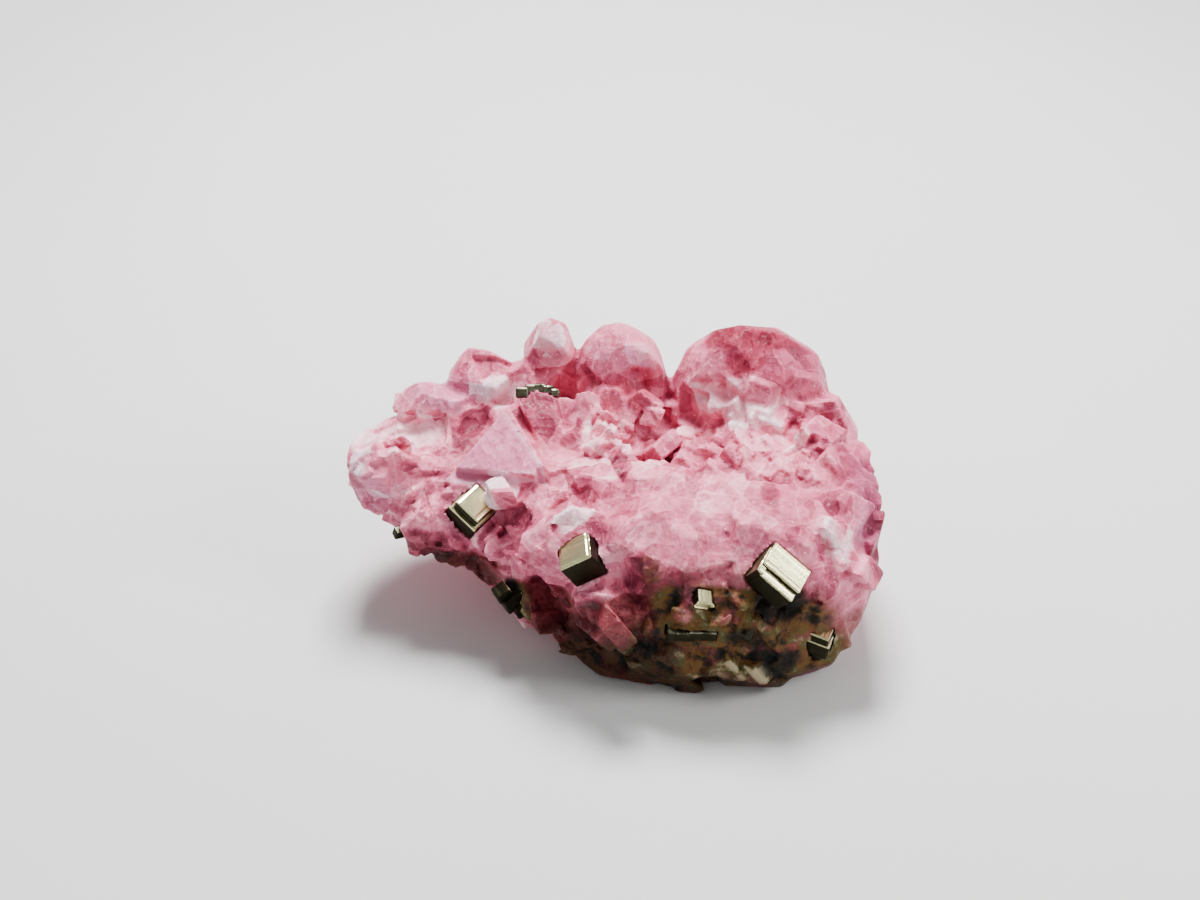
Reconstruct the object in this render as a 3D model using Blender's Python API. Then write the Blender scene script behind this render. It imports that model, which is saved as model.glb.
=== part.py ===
"""Rhodochrosite specimen with pyrite crystals, at its real size.

The pink mass is one solid: a lofted body, the crystals that stand along its back edge, lumps, ledges and
small cleavage rhombs, all joined by Boolean unions and cut flat where the stone rests. Each pyrite
crystal is an object of its own, and sits in a pocket that is cut for it.

Frame: +X to the right seen from the front, +Y to the back, +Z up. The origin is the middle of the
specimen's box, on the surface that it rests on. Positions in the tables are millimetres.
"""

import math
import random

import bmesh
import bpy
from mathutils import Euler, Matrix, Vector

MM = 0.001

# Driving dimensions, in millimetres.
POCKET_GAP = 0.1
RHOMB_POLAR = math.radians(43.4)  # rhodochrosite's cleavage planes lean this far from its c axis
CUT_REACH = 40.0
RING_POINTS = 16
MOST_WOBBLE = 0.3
WOBBLE_SHARE = 0.05  # of a section's smaller side, where that is less
FACET_LEAN = 0.35  # how far a lump's facets lean from an even spread
RHOMB_UNEVENNESS = (0.6, 1.2)
# How square the body's sections are: upper back, upper front, lower front, lower back.
SQUARENESS = (3.5, 2.4, 6.0, 3.0)

# The body's sections from left to right: x, front y, back y, bottom z, top z, fall of the top to the front.
SECTIONS = [
    (-13.2, 0.9, 2.8, 6.7, 8.0, 0.2),
    (-12.5, 0.1, 4.2, 5.4, 8.3, 0.6),
    (-10.3, -0.7, 5.8, 4.1, 8.6, 1.2),
    (-7.2, -2.2, 7.0, 2.3, 8.9, 1.8),
    (-4.2, -4.4, 7.5, 0.8, 9.0, 1.2),
    (-0.5, -6.5, 7.6, -0.4, 9.1, 0.4),
    (3.5, -7.6, 7.4, -0.6, 9.1, 0.0),
    (7.5, -7.7, 7.2, -0.6, 9.2, 0.0),
    (10.6, -6.6, 6.4, 0.3, 9.0, 0.6),
    (12.1, -5.2, 5.0, 1.4, 8.5, 1.0),
    (12.8, -3.6, 3.0, 2.8, 7.8, 0.8),
]

# Crystals and lumps that stand out of the body: name, centre, half-sizes, turn in degrees, facets, seed.
LUMPS = [
    ("right_dome", (7.2, 5.8, 8.9), (4.05, 2.3, 3.4), (-18, 10, -4), 48, 21, 0.04),
    ("middle_dome", (0.35, 6.0, 8.6), (2.6, 1.8, 3.7), (-14, 0, 0), 48, 22, 0.04),
    ("spire", (-3.1, 6.6, 10.1), (1.15, 1.0, 2.6), (-12, 2, 10), 18, 23),
    ("spire_foot", (-4.5, 5.9, 8.6), (1.9, 1.5, 1.6), (-10, 20, 0), 14, 29),
    ("back_lump_left", (-6.6, 6.0, 8.8), (2.2, 1.6, 1.8), (-10, 0, 10), 16, 24),
    ("far_left_lump", (-9.2, 4.7, 8.2), (1.8, 1.7, 1.6), (0, 0, 0), 16, 25),
    ("right_shoulder", (10.4, 3.5, 7.8), (1.9, 2.4, 1.8), (0, 20, 0), 18, 26),
    ("wing_ledge", (-11.0, 1.4, 7.2), (2.2, 1.6, 1.3), (0, 6, 20), 16, 27),
    ("wing_front", (-8.4, -0.6, 5.3), (2.2, 1.5, 1.7), (0, 18, 14), 16, 28),
    ("brow_left", (-2.0, -3.4, 6.3), (2.6, 2.0, 2.1), (30, 0, 20), 22, 31),
    ("brow_middle", (2.4, -4.0, 7.0), (3.4, 2.5, 1.9), (26, 0, 4), 30, 32, 0.06),
    ("brow_right", (7.6, -3.6, 7.1), (3.2, 2.6, 2.0), (26, 0, -12), 30, 33, 0.06),
    ("red_bulge", (0.3, -6.2, 4.4), (2.0, 1.3, 1.9), (0, 0, 20), 16, 34),
    ("low_middle", (2.8, -6.6, 2.2), (2.4, 1.1, 1.7), (10, 0, 0), 16, 35),
    ("low_right", (7.0, -6.7, 1.7), (2.0, 1.0, 1.6), (10, 0, -10), 20, 36),
    ("low_right_end", (9.9, -5.3, 2.9), (1.6, 1.3, 1.6), (0, 0, -30), 16, 37),
    ("low_left", (-1.3, -4.9, 2.4), (1.7, 1.2, 1.4), (0, 20, 20), 16, 38),
]

# Hollows: the same columns as the lumps.
HOLLOWS = [
    ("crater", (3.4, 2.5, 10.0), (3.7, 2.2, 3.2), (-12, 0, 0), 24, 41),
    ("left_pyrite_dish", (-6.1, -2.1, 7.6), (1.5, 1.5, 1.4), (0, 0, 0), 20, 48),
    ("left_pyrite_side", (-7.6, -2.5, 6.8), (1.1, 0.9, 0.9), (0, 0, 0), 18, 49),
    ("right_pyrite_recess", (8.0, -7.4, 5.9), (1.3, 0.9, 1.0), (0, 0, 0), 18, 50),
    ("wing_cavity", (-6.9, 3.0, 9.8), (1.2, 1.2, 1.5), (-10, 0, 20), 14, 43),
    ("right_hollow", (9.6, 2.4, 9.8), (1.4, 1.2, 1.2), (0, 0, 0), 14, 44),
    ("middle_hollow", (-0.8, 2.2, 9.8), (0.9, 1.3, 1.0), (0, 0, 20), 14, 45),
    ("back_hollow", (-1.0, 8.6, 5.0), (3.0, 1.4, 2.0), (0, 0, 0), 16, 46),
    ("under_hollow", (-6.5, 2.5, 0.2), (3.4, 3.0, 1.6), (0, 10, 0), 16, 47),
]

# The pale grain beside the left pyrite: the same columns as the lumps.
PALE_GRAIN = ("pale_grain", (-5.55, -1.1, 7.6), (0.75, 0.6, 0.6), (20, 20, 30), 14, 39)

# The flat triangular cleavage face, and the dark pink crystal beside it, as the corners of their solids.
TRIANGLE_FACE = [
    (-5.2, 3.1, 9.9),
    (-7.8, 0.2, 8.2),
    (-2.9, -1.5, 9.0),
    (-4.4, 3.9, 7.0),
    (-7.3, 1.2, 6.4),
    (-3.4, -0.2, 6.4),
]
DARK_CRYSTAL = [
    (-4.7, 3.2, 10.0),
    (-3.8, 3.8, 10.3),
    (-2.7, 3.4, 10.0),
    (-2.5, 2.3, 9.3),
    (-2.2, 1.1, 8.6),
    (-3.5, 1.1, 8.8),
    (-4.6, 5.4, 8.0),
    (-2.4, 5.0, 8.0),
    (-3.0, 1.6, 7.0),
]

# Plates that stand side by side at the right end: centre, half-sizes, turn in degrees.
END_PLATES = [
    ((12.0, 2.2, 6.2), (0.7, 0.45, 1.8), (6, 6, 24)),
    ((12.2, 1.1, 5.7), (0.7, 0.4, 2.0), (4, 4, 14)),
    ((12.4, 0.1, 5.3), (0.7, 0.4, 2.2), (2, 2, 6)),
    ((12.4, -1.0, 5.1), (0.7, 0.4, 2.3), (-2, 4, -4)),
    ((12.3, -2.1, 5.0), (0.7, 0.45, 2.4), (0, 6, -14)),
    ((11.9, -3.2, 4.8), (0.7, 0.5, 2.2), (0, 6, -26)),
    ((11.4, -4.3, 4.6), (0.7, 0.5, 2.0), (0, 6, -40)),
]

# Pyrite crystals: centre, turn in degrees, then the boxes that make up the crystal as offset and half-sizes.
PYRITES = {
    "pyrite_left": ((-6.8, -1.2, 6.81), (8, 29, -34), [
        ((-0.12, 0, 0), (0.63, 0.80, 0.66)),
        ((0.5, 0, -0.05), (0.25, 0.78, 0.66)),
        ((0, -0.05, -0.4), (0.9, 0.95, 0.5)),
    ]),
    "pyrite_centre": ((-1.42, -5.26, 6.98), (-80, -31, 0), [
        ((0, 0, 0), (0.88, 0.80, 0.75)),
        ((0, -0.06, 0.08), (0.76, 0.80, 0.75)),
    ]),
    "pyrite_right": ((7.72, -6.45, 7.06), (-38, 11, -118), [
        ((-0.25, 0, 0), (0.73, 1.15, 0.70)),
        ((0.35, 0.05, -0.14), (0.62, 1.05, 0.62)),
        ((0.1, -1.0, -0.06), (0.80, 0.20, 0.62)),
    ]),
    "pyrite_low_left": ((-5.0, -3.9, 3.4), (10, -20, 30), [
        ((0, 0, 0), (0.55, 0.55, 0.55)),
        ((0.35, -0.15, -0.75), (0.6, 0.5, 0.55)),
        ((-0.25, 0.1, 0.6), (0.4, 0.4, 0.35)),
    ]),
    "pyrite_top": ((-3.75, 4.1, 10.1), (-35, 0, 0), [
        ((-0.75, -0.15, -0.1), (0.32, 0.26, 0.28)),
        ((-0.35, 0.05, 0.05), (0.30, 0.24, 0.26)),
        ((0.1, 0.12, 0.1), (0.32, 0.24, 0.26)),
        ((0.55, 0.05, 0.02), (0.30, 0.22, 0.24)),
        ((0.9, -0.15, -0.12), (0.22, 0.22, 0.22)),
    ]),
    "pyrite_speck": ((-10.6, -0.95, 5.05), (20, 10, 30), [((0, 0, 0), (0.28, 0.25, 0.3))]),
    "pyrite_low_right": ((9.6, -6.4, 3.0), (0, 8, -22), [
        ((0, 0, 0), (1.0, 0.7, 0.42)),
        ((0.1, 0, 0.55), (0.8, 0.62, 0.3)),
        ((-0.1, 0.05, -0.5), (0.85, 0.62, 0.25)),
    ]),
    "pyrite_gold_grain": ((4.2, -7.2, 6.3), (20, 20, 10), [
        ((0, 0, 0), (0.4, 0.4, 0.3)),
        ((0.35, 0, -0.25), (0.3, 0.35, 0.25)),
    ]),
    "pyrite_dark_grain": ((3.7, -7.5, 4.4), (0, 6, 4), [
        ((-0.5, 0, 0), (0.7, 0.4, 0.3)),
        ((0.5, 0, 0.1), (0.7, 0.4, 0.28)),
    ]),
}

# Crystals that make the rough ridges of the top: centre and half-size.
RIDGE_CRYSTALS = [
    ((-1.5, 3.5, 8.8), 0.75),
    ((-0.9, 4.3, 9.0), 0.8),
    ((0.2, 4.2, 9.1), 0.9),
    ((1.4, 4.0, 9.1), 0.8),
    ((-1.4, 1.9, 8.4), 0.9),
    ((-0.4, 2.6, 8.6), 0.8),
    ((-0.2, 1.0, 8.5), 0.8),
    ((5.3, 4.3, 8.9), 0.9),
    ((6.6, 3.7, 8.9), 1.0),
    ((7.9, 3.5, 8.7), 0.9),
    ((7.4, 2.3, 8.6), 1.0),
    ((8.6, 2.0, 8.3), 0.8),
    ((9.6, 3.0, 8.5), 1.0),
    ((10.4, 1.6, 8.3), 0.9),
    ((9.3, 0.5, 8.4), 1.0),
    ((10.8, 0.0, 7.8), 0.9),
    ((10.0, -1.2, 8.0), 1.0),
    ((11.3, -1.6, 7.2), 0.8),
    ((11.0, -3.0, 6.9), 1.1),
]

DARK_PYRITES = ("pyrite_top", "pyrite_speck", "pyrite_dark_grain")

# Small cleavage rhombs scattered over the surface, added as chips or cut as nicks.
CHIPS = 150
NICKS = 70
CHIP_SPACING = 1.5
CHIP_HALF = (0.45, 0.95)
CHIP_HEIGHT = (0.1, 0.3)
CHIP_LIMITS = (13.5, 8.1)  # no chip reaches further than this from the middle in X and in Y
CHIP_TRIES = 30  # places tried for each chip that is wanted
GRAIN_TURNS = 9
GRAIN_MIDDLE = (0, 0, 5)
GRAIN_SPREAD = (12, 7, 5)

# Boxes, as lowest and highest corners, where no chip starts, and how near to a pyrite crystal none does.
FAR = 99
SMOOTH_ZONES = {
    "brow": ((0, -6.4, 6.2), (9.5, -1.2, FAR)),
    "triangle": ((-8, -1.8, 7.6), (-1.6, 5, FAR)),
    "left back crystals": ((-FAR, 3.4, 7), (-5, FAR, FAR)),
    "right back crystals": ((-5, 3.4, 8.2), (FAR, FAR, FAR)),
    "right shoulder": ((9, -3, 8), (FAR, FAR, FAR)),
    "base": ((-FAR, -FAR, -FAR), (FAR, FAR, 1.8)),
}
CLEAR_OF_PYRITE = 1.9

# The sugary cluster in the crater: the middle and half-widths of its oval, and how it rises to its rim.
CRATER_RHOMBS = 34
CRATER_MIDDLE = (3.4, 2.5)
CRATER_REACH = (3.5, 2.0)
CRATER_FLOOR = 6.9
CRATER_RISE = 1.5
CRATER_RHOMB_HALF = (0.45, 0.85)


# Base colour (linear), roughness and metallic of each material.
MATERIALS = {
    "rhodochrosite_pink": ((0.62, 0.24, 0.28), 0.45, 0.0),
    "pyrite_bright": ((0.55, 0.50, 0.34), 0.28, 1.0),
    "pyrite_dark": ((0.16, 0.15, 0.10), 0.45, 1.0),
}


def spread_directions(count, rng, wobble):
    """Unit vectors spread evenly over a sphere, each nudged by up to wobble."""
    golden = math.pi * (3 - math.sqrt(5))
    for i in range(count):
        z = 1 - 2 * (i + 0.5) / count
        ring = math.sqrt(1 - z * z)
        turn = golden * i
        nudge = Vector(rng.uniform(-wobble, wobble) for _ in range(3))
        yield (Vector((ring * math.cos(turn), ring * math.sin(turn), z)) + nudge).normalized()


def solid_inside(planes):
    """The convex solid on the inner side of every (normal, distance) plane, as a bmesh."""
    solid = bmesh.new()
    bmesh.ops.create_cube(solid, size=2 * CUT_REACH)
    for normal, distance in planes:
        everything = solid.verts[:] + solid.edges[:] + solid.faces[:]
        bmesh.ops.bisect_plane(
            solid, geom=everything, dist=1e-6, plane_co=normal * distance, plane_no=normal, clear_outer=True
        )
        open_edges = [edge for edge in solid.edges if edge.is_boundary]
        bmesh.ops.holes_fill(solid, edges=open_edges)
    bmesh.ops.recalc_face_normals(solid, faces=solid.faces)
    return solid


def turned(degrees):
    return Euler([math.radians(d) for d in degrees]).to_matrix()


def place(solid, name, centre=(0, 0, 0), turn=Matrix.Identity(3)):
    """Makes an object of the solid, turned and moved to its place, with its points in metres."""
    matrix = Matrix.Translation(Vector(centre)) @ turn.to_4x4()
    bmesh.ops.transform(solid, matrix=Matrix.Scale(MM, 4) @ matrix, verts=solid.verts)
    mesh = bpy.data.meshes.new(name)
    solid.to_mesh(mesh)
    solid.free()
    made = bpy.data.objects.new(name, mesh)
    bpy.context.scene.collection.objects.link(made)
    return made


def boulder(name, centre, radii, turn, facets, seed, rough=0.1):
    """An ellipsoid chipped into flat facets."""
    rng = random.Random(seed)
    planes = []
    for normal in spread_directions(facets, rng, wobble=FACET_LEAN):
        reach = Vector(normal[i] * radii[i] for i in range(3)).length
        planes.append((normal, reach * rng.uniform(1 - rough, 1)))
    return place(solid_inside(planes), name, centre, turned(turn))


def section_ring(front, back, bottom, top, fall):
    """The (y, z) points round one section of the body: an oval, squarer in one quarter than in another."""
    mid_y, mid_z = (front + back) / 2, (bottom + top) / 2
    half_y, half_z = (back - front) / 2, (top - bottom) / 2
    for i in range(RING_POINTS):
        turn = 2 * math.pi * (i + 0.5) / RING_POINTS
        power = 2 / SQUARENESS[4 * i // RING_POINTS]
        across = math.copysign(abs(math.cos(turn)) ** power, math.cos(turn))
        up = math.copysign(abs(math.sin(turn)) ** power, math.sin(turn))
        lowered = fall * max(0, -across) * max(0, up)
        yield mid_y + half_y * across, mid_z + half_z * up - lowered


def body(seed=11):
    """The stone's main mass, lofted through its sections, with its points nudged to make it uneven."""
    rng = random.Random(seed)
    solid = bmesh.new()
    rings = []
    for x, *extent in SECTIONS:
        front, back, bottom, top, _ = extent
        wobble = min(MOST_WOBBLE, WOBBLE_SHARE * min(back - front, top - bottom))
        ring = []
        for y, z in section_ring(*extent):
            nudge = Vector(rng.uniform(-wobble, wobble) for _ in range(3))
            ring.append(solid.verts.new(Vector((x, y, z)) + nudge))
        rings.append(ring)
    for left, right in zip(rings, rings[1:]):
        for i in range(RING_POINTS):
            following = (i + 1) % RING_POINTS
            solid.faces.new((left[i], left[following], right[following], right[i]))
    solid.faces.new(reversed(rings[0]))
    solid.faces.new(rings[-1])
    bmesh.ops.triangulate(solid, faces=solid.faces)
    bmesh.ops.recalc_face_normals(solid, faces=solid.faces)
    return place(solid, "body")


def hull(name, corners):
    """The convex solid with these corners."""
    solid = bmesh.new()
    for corner in corners:
        solid.verts.new(corner)
    bmesh.ops.convex_hull(solid, input=solid.verts)
    return place(solid, name)


def box(name, centre, half, turn, offset=(0, 0, 0), grow=0.0):
    """A box whose offset is along its own axes, with every side moved outwards by grow."""
    solid = bmesh.new()
    bmesh.ops.create_cube(solid, size=2)
    size = Matrix.Diagonal([h + grow for h in half])
    bmesh.ops.transform(solid, matrix=Matrix.Translation(offset) @ size.to_4x4(), verts=solid.verts)
    return place(solid, name, centre, turned(turn))


def rhomb(half, turn, rng):
    """A cleavage rhomb: three pairs of parallel faces, evenly spread round its c axis."""
    planes = []
    for i in range(3):
        round_axis = math.radians(120 * i)
        normal = Vector((
            math.sin(RHOMB_POLAR) * math.cos(round_axis),
            math.sin(RHOMB_POLAR) * math.sin(round_axis),
            math.cos(RHOMB_POLAR),
        ))
        reach = half * rng.uniform(*RHOMB_UNEVENNESS)
        planes += [(turn @ normal, reach), (turn @ -normal, reach)]
    return solid_inside(planes)


def join(base, others, operation):
    """Joins the others to the base, or cuts them from it, and removes them."""
    group = bpy.data.collections.new("operands")
    bpy.context.scene.collection.children.link(group)
    for other in others:
        bpy.context.scene.collection.objects.unlink(other)
        group.objects.link(other)
    boolean = base.modifiers.new("join", "BOOLEAN")
    boolean.operation = operation
    boolean.solver = "EXACT"
    boolean.operand_type = "COLLECTION"
    boolean.collection = group
    bpy.context.view_layer.update()
    graph = bpy.context.evaluated_depsgraph_get()
    joined = bpy.data.meshes.new_from_object(base.evaluated_get(graph))
    base.modifiers.remove(boolean)
    base.data = joined
    for other in others:
        bpy.data.objects.remove(other)
    bpy.data.collections.remove(group)


def grain_turns(rng):
    """The orientations that neighbouring crystals share, each with the middle of its region."""
    turns = []
    for direction in spread_directions(GRAIN_TURNS, rng, wobble=0.2):
        middle = Vector(GRAIN_MIDDLE) + direction * Vector(GRAIN_SPREAD)
        turns.append((middle, turned([rng.uniform(0, 360) for _ in range(3)])))
    return turns


def surface_points(stone, count, spacing, rng):
    """Points spread over the stone's surface, at least the spacing apart, with their outward normals."""
    solid = bmesh.new()
    solid.from_mesh(stone.data)
    bmesh.ops.triangulate(solid, faces=solid.faces)
    areas = [face.calc_area() for face in solid.faces]
    found = []
    for face in rng.choices(solid.faces[:], areas, k=CHIP_TRIES * count):
        a, b = sorted((rng.random(), rng.random()))
        corners = [vert.co / MM for vert in face.verts]
        point = corners[0] * a + corners[1] * (b - a) + corners[2] * (1 - b)
        if all((point - other).length > spacing for other, _ in found):
            found.append((point, face.normal.copy()))
        if len(found) == count:
            break
    solid.free()
    return found


def scattered_rhombs(stone, count, side, seed):
    """Small rhombs that stand a little out of the surface (side 1) or bite a little into it (side -1).

    Those of one region lie the same way round, as broken crystals do.
    """
    rng = random.Random(seed)
    regions = grain_turns(random.Random(7))
    made = []
    for point, normal in surface_points(stone, count, CHIP_SPACING, rng):
        if smooth_zone(point):
            continue
        turn = min(regions, key=lambda region: (region[0] - point).length)[1]
        solid = rhomb(rng.uniform(*CHIP_HALF), turn, rng)
        reach = max(vert.co.dot(normal * side) for vert in solid.verts)
        centre = point + normal * side * (rng.uniform(*CHIP_HEIGHT) - reach)
        furthest = [max(abs(vert.co[i] + centre[i]) for vert in solid.verts) for i in (0, 1)]
        if side < 0 or (furthest[0] < CHIP_LIMITS[0] and furthest[1] < CHIP_LIMITS[1]):
            made.append(place(solid, "chip", centre))
    return made


def smooth_zone(point):
    """True where there are no chips."""
    for low, high in SMOOTH_ZONES.values():
        if all(low[i] < point[i] < high[i] for i in range(3)):
            return True
    return any((point - Vector(centre)).length < CLEAR_OF_PYRITE for centre, _, _ in PYRITES.values())


def ridge_crystals(seed=71):
    """The rough crystals of the top, each turned its own way."""
    rng = random.Random(seed)
    made = []
    for centre, half in RIDGE_CRYSTALS:
        turn = turned([rng.uniform(0, 360) for _ in range(3)])
        made.append(place(rhomb(half, turn, rng), "ridge", centre))
    return made


def crater_rhombs(seed=61):
    """The sugary cluster in the hollow of the top."""
    rng = random.Random(seed)
    made = []
    for _ in range(CRATER_RHOMBS):
        bearing = rng.uniform(0, 2 * math.pi)
        reach = math.sqrt(rng.random())
        centre = (
            CRATER_MIDDLE[0] + CRATER_REACH[0] * reach * math.cos(bearing),
            CRATER_MIDDLE[1] + CRATER_REACH[1] * reach * math.sin(bearing),
            CRATER_FLOOR + CRATER_RISE * reach,
        )
        turn = turned([rng.uniform(0, 360) for _ in range(3)])
        made.append(place(rhomb(rng.uniform(*CRATER_RHOMB_HALF), turn, rng), "sugar", centre))
    return made


def give_material(node, name):
    """Gives the node its own material, made from the named row."""
    colour, roughness, metallic = MATERIALS[name]
    material = bpy.data.materials.new(node.name + "_" + name)
    material.use_nodes = True
    surface = material.node_tree.nodes["Principled BSDF"]
    surface.inputs["Base Color"].default_value = (*colour, 1)
    surface.inputs["Roughness"].default_value = roughness
    surface.inputs["Metallic"].default_value = metallic
    node.data.materials.clear()
    node.data.materials.append(material)


def pyrite(name, centre, turn, boxes, grow=0.0):
    """One pyrite crystal: its boxes joined, or the pocket for it when grown."""
    first, *others = [box(name, centre, half, turn, offset, grow) for offset, half in boxes]
    if others:
        join(first, others, "UNION")
    return first


def largest_shell(node):
    """Removes the crumbs and the sealed bubbles that the Booleans left, keeping the outer surface."""
    solid = bmesh.new()
    solid.from_mesh(node.data)
    unseen = set(solid.verts)
    shells = []
    while unseen:
        shell = {unseen.pop()}
        edge_of_shell = list(shell)
        while edge_of_shell:
            vert = edge_of_shell.pop()
            beside = {edge.other_vert(vert) for edge in vert.link_edges} & unseen
            unseen -= beside
            shell |= beside
            edge_of_shell += beside
        shells.append(shell)
    largest = max(shells, key=len)
    crumbs = [vert for vert in solid.verts if vert not in largest]
    bmesh.ops.delete(solid, geom=crumbs, context="VERTS")
    solid.to_mesh(node.data)
    solid.free()


def rock():
    """The pink mass with its hollows, crystals, flat underside and pyrite pockets."""
    stone = body()
    stone.name = "rhodochrosite"
    join(stone, [boulder(*row) for row in LUMPS], "UNION")
    join(stone, [boulder(*row) for row in HOLLOWS], "DIFFERENCE")
    features = [hull("triangle_face", TRIANGLE_FACE), hull("dark_crystal", DARK_CRYSTAL)]
    features += [box("plate", *row) for row in END_PLATES] + [boulder(*PALE_GRAIN)]
    join(stone, features, "UNION")
    join(stone, scattered_rhombs(stone, NICKS, -1, seed=51), "DIFFERENCE")
    join(stone, scattered_rhombs(stone, CHIPS, 1, seed=52), "UNION")
    join(stone, ridge_crystals() + crater_rhombs(), "UNION")
    pockets = [pyrite("pocket", *row, grow=POCKET_GAP) for row in PYRITES.values()]
    ground = box("ground", (0, 0, -5), (20, 20, 5), (0, 0, 0))
    join(stone, pockets + [ground], "DIFFERENCE")
    largest_shell(stone)
    return stone


def main():
    for old in list(bpy.data.objects):
        bpy.data.objects.remove(old)
    give_material(rock(), "rhodochrosite_pink")
    for name, row in PYRITES.items():
        crystal = pyrite(name, *row)
        give_material(crystal, "pyrite_dark" if name in DARK_PYRITES else "pyrite_bright")


main()
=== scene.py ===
"""Looks of the rhodochrosite specimen: the pink stone, its pyrite crystals, the studio and the camera.

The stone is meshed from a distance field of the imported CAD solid. The field is stepped along the three
cleavage directions of each crystal grain, cut into cleavage facets and set with small cleavage rhombs,
which gives the broken, sugary surface of the real stone. Its colours lie in named zones.
Lengths are millimetres up to make_object, and everything that reaches Blender is in metres.
"""

import math
import random

import bpy
import numpy as np
import openvdb
from mathutils import Euler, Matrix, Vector


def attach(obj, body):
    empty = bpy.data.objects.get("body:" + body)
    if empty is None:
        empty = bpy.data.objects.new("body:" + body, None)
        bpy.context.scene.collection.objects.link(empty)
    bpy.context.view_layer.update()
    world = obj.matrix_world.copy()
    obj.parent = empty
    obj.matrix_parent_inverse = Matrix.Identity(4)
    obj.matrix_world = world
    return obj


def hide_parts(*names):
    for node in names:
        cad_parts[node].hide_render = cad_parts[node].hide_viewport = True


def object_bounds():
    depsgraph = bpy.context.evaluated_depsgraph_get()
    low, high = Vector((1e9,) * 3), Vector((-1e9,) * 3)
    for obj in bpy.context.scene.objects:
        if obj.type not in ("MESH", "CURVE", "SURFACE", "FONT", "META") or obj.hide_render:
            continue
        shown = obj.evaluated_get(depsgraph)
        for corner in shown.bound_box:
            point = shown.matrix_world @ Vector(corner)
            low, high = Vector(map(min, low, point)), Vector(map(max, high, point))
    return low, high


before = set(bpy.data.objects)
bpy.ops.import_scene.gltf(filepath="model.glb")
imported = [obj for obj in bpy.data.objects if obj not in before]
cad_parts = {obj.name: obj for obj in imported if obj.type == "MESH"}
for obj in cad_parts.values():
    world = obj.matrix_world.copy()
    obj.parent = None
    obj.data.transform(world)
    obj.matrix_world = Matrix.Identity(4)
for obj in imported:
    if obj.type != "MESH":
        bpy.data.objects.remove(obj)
CAD_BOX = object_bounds()

MM = 0.001

# The stone's distance field. All lengths are in millimetres unless a comment says otherwise.
VOXEL = 0.11
BAND = 13.0  # half width of the field, in voxels
EDGE_VOXELS = 2  # added on every side of the field
GAP_CLOSED = 0.07  # half of the widest gap round a pyrite crystal that the stone's skin closes
PYRITE_CLEARANCE = 0.02
MOST_TRIANGLES = 190000

# The crystal grains of the stone.
RHOMB_POLAR = math.radians(43.4)  # rhodochrosite's cleavage planes lean this far from its c axis
REGION_COUNT = 9
REGION_SEED = 7
REGIONS_MIDDLE = (0, 0, 5)
REGIONS_REACH = (12, 7, 5)
GRAIN_SPACING = 2.6
GRAIN_LEAN = 14  # degrees, as are the leans below
RHOMB_LEAN = 16
FACET_LEAN = 10

# The stone's relief.
STEP_SIZES = (0.3, 0.8)
STEP_STRENGTH = 0.4
STEP_REACH = 0.9  # from the skin
STEPS_RISE = (0.1, 0.8)  # how far from a pyrite crystal the steps start, and over what width they grow
RELIEF_RISE = (0.25, 0.6)  # the same for all relief
CRATER_FILL = 0.2  # how far the evened hollow is raised
CRATER_EVENNESS = 0.9
CRATER_BLUR = 3.5  # voxels, as are the blurs below
EDGE_BLUR = 0.45
RELIEF_BLUR = 2.5
FACET_COUNT = 1300
FACET_SIZES = (0.4, 1.2)
FACET_DEPTH = (0.01, 0.12)
MOST_CUT = 0.28
RHOMB_COUNT = 1400
RHOMB_SIZES = (0.25, 0.7)
RHOMB_SIDES = (0.55, 1.25)  # how long the sides are, as shares of the size
RHOMB_POKE = (0.0, 0.09)
RIPPLE_REACH = 0.5
RIPPLE_HEIGHT = 0.02
RIPPLE_SPACING = 0.45


def field_of(points, triangles):
    """A level set of a closed mesh given in millimetres."""
    return openvdb.FloatGrid.createLevelSetFromPolygons(
        points.astype(np.float32),
        triangles=triangles.astype(np.uint32),
        transform=openvdb.createLinearTransform(VOXEL),
        halfWidth=BAND,
    )


def mesh_of_node(node):
    """The node's points in millimetres, welded, and its triangles."""
    mesh = node.data
    mesh.calc_loop_triangles()
    points = np.empty(len(mesh.vertices) * 3, np.float32)
    mesh.vertices.foreach_get("co", points)
    triangles = np.empty(len(mesh.loop_triangles) * 3, np.int32)
    mesh.loop_triangles.foreach_get("vertices", triangles)
    points = points.reshape(-1, 3) / MM
    _, first, index = np.unique(np.round(points, 4), axis=0, return_index=True, return_inverse=True)
    return points[first], index.reshape(-1)[triangles].reshape(-1, 3)


def array_of(field, corner, shape):
    """The field's values in a box of voxels."""
    values = np.zeros(shape, np.float32)
    field.copyToArray(values, ijk=tuple(int(c) for c in corner))
    return values


def sample(values, at):
    """Trilinear samples of the array at (n, 3) fractional voxel positions."""
    limit = np.array(values.shape) - 1.001
    at = np.clip(at, 0, limit)
    low = at.astype(np.int32)
    part = (at - low).astype(np.float32)
    result = np.zeros(len(at), np.float32)
    for corner in np.ndindex(2, 2, 2):
        weight = np.ones(len(at), np.float32)
        for i in range(3):
            weight *= part[:, i] if corner[i] else 1 - part[:, i]
        result += weight * values[low[:, 0] + corner[0], low[:, 1] + corner[1], low[:, 2] + corner[2]]
    return result


def spread_directions(count, rng, wobble):
    """Unit vectors spread evenly over a sphere, each nudged by up to wobble."""
    golden = math.pi * (3 - math.sqrt(5))
    for i in range(count):
        z = 1 - 2 * (i + 0.5) / count
        ring = math.sqrt(1 - z * z)
        turn = golden * i
        nudge = Vector(rng.uniform(-wobble, wobble) for _ in range(3))
        yield (Vector((ring * math.cos(turn), ring * math.sin(turn), z)) + nudge).normalized()


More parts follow.
